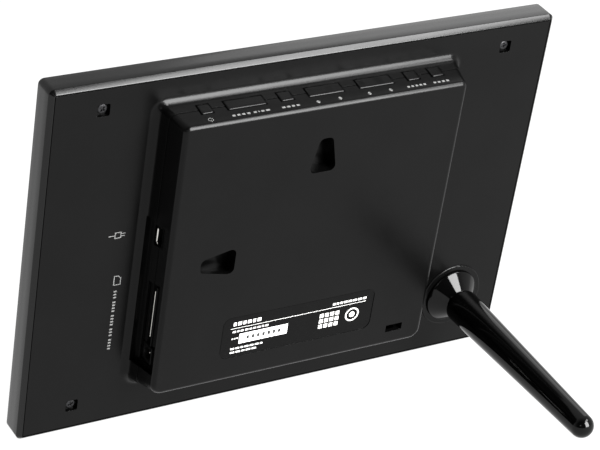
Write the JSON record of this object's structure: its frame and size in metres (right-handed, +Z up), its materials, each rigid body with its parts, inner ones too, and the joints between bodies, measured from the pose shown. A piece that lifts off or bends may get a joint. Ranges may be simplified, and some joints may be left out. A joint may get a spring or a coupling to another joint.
{
  "type": "digital photo frame",
  "caption": "Digital photo frame leaning back on a turned leg, with a raised rear housing that carries keys, sockets and wall keyholes.",
  "frame": {"origin": "on the surface it stands on, under the middle of the whole object", "axes": "+X to the left as seen from behind (the socket side), +Y to the back, the way the leg points, +Z up; the screen faces -Y and leans back 13 degrees"},
  "size_m": [0.2, 0.1042, 0.1393],
  "materials": {
    "bezel_plastic": "moulded black, satin gloss",
    "cover_plastic": "fine matte black",
    "screen_glass": "dark polariser on glass",
    "white_film": "milky film",
    "clear_acrylic": "clear acrylic",
    "led_tape": "white circuit with yellow LED lenses",
    "module_steel": "bright rolled steel",
    "screw_steel": "zinc plated",
    "black_screw": "blackened steel",
    "circuit_board": "green solder mask",
    "chip_black": "moulded epoxy",
    "ferrite": "dark ferrite",
    "socket_steel": "tinned steel",
    "can_aluminium": "bare aluminium can",
    "socket_ivory": "ivory nylon",
    "jack_black": "black nylon",
    "amber_film": "polyimide film",
    "white_wire": "PVC insulation",
    "switch_plastic": "black switch cases",
    "insert_brass": "turned brass",
    "stud_steel": "turned steel",
    "stand_gloss": "polished black",
    "label_film": "printed black film",
    "label_paper": "white sticker",
    "key_plastic": "satin black"
  },
  "bodies": {
    "frame": {"front_bezel": "bezel_plastic", "rear_cover": "cover_plastic", "housing_cap": "cover_plastic", "lcd_glass": "screen_glass", "diffuser_sheets": "white_film", "light_guide": "clear_acrylic", "led_strip": "led_tape", "lcd_frame": "module_steel", "lcd_brackets": "module_steel", "bracket_screws": "screw_steel", "cap_screws": "screw_steel", "board_screws": "screw_steel", "corner_screws": "black_screw", "main_board": "circuit_board", "key_board": "circuit_board", "processor_chip": "chip_black", "memory_chips": "chip_black", "flash_chip": "chip_black", "power_coils": "ferrite", "crystal": "socket_steel", "mini_usb_socket": "socket_steel", "card_socket": "socket_steel", "capacitors": "can_aluminium", "lcd_connector": "socket_ivory", "key_connector": "socket_ivory", "dc_jack": "jack_black", "jack_pin": "socket_steel", "lcd_flex": "amber_film", "key_flex": "amber_film", "backlight_cable": "white_wire", "tact_switches": "switch_plastic", "stand_insert": "insert_brass", "rating_label": "label_film", "serial_label": "label_paper"},
    "power_key": {"power_key": "key_plastic"},
    "view_key": {"view_key": "key_plastic"},
    "menu_key": {"menu_key": "key_plastic"},
    "enter_key": {"enter_key": "key_plastic"},
    "back_key": {"back_key": "key_plastic"},
    "up_down_key": {"up_down_key": "key_plastic"},
    "left_right_key": {"left_right_key": "key_plastic"},
    "stand": {"stand_stud": "stud_steel", "stand_collar": "stand_gloss", "stand_leg": "stand_gloss"}
  },
  "joints": [
    {"name": "power_press", "type": "slide", "parent": "frame", "child": "power_key", "axis": [0, -0.3337, -0.9427], "range_m": [0, 0.0005], "stiffness_N_per_m": 600},
    {"name": "view_press", "type": "slide", "parent": "frame", "child": "view_key", "axis": [0, -0.3337, -0.9427], "range_m": [0, 0.0005], "stiffness_N_per_m": 600},
    {"name": "menu_press", "type": "slide", "parent": "frame", "child": "menu_key", "axis": [0, -0.3337, -0.9427], "range_m": [0, 0.0005], "stiffness_N_per_m": 600},
    {"name": "enter_press", "type": "slide", "parent": "frame", "child": "enter_key", "axis": [0, -0.3337, -0.9427], "range_m": [0, 0.0005], "stiffness_N_per_m": 600},
    {"name": "back_press", "type": "slide", "parent": "frame", "child": "back_key", "axis": [0, -0.3337, -0.9427], "range_m": [0, 0.0005], "stiffness_N_per_m": 600},
    {"name": "up_down_rock", "type": "hinge", "parent": "frame", "child": "up_down_key", "pos_m": [-0.001, -0.0094, 0.12253], "axis": [0, 0.9427, -0.3337], "range_deg": [-2.5, 2.5], "stiffness_Nm_per_rad": 0.05},
    {"name": "left_right_rock", "type": "hinge", "parent": "frame", "child": "left_right_key", "pos_m": [-0.0212, -0.0094, 0.12253], "axis": [0, 0.9427, -0.3337], "range_deg": [-2.5, 2.5], "stiffness_Nm_per_rad": 0.05},
    {"name": "stand_turn", "type": "hinge", "parent": "frame", "child": "stand", "pos_m": [-0.0777, -0.03642, 0.02333], "axis": [0, 0.9757, -0.219], "range_deg": [0, 90]}
  ]
}
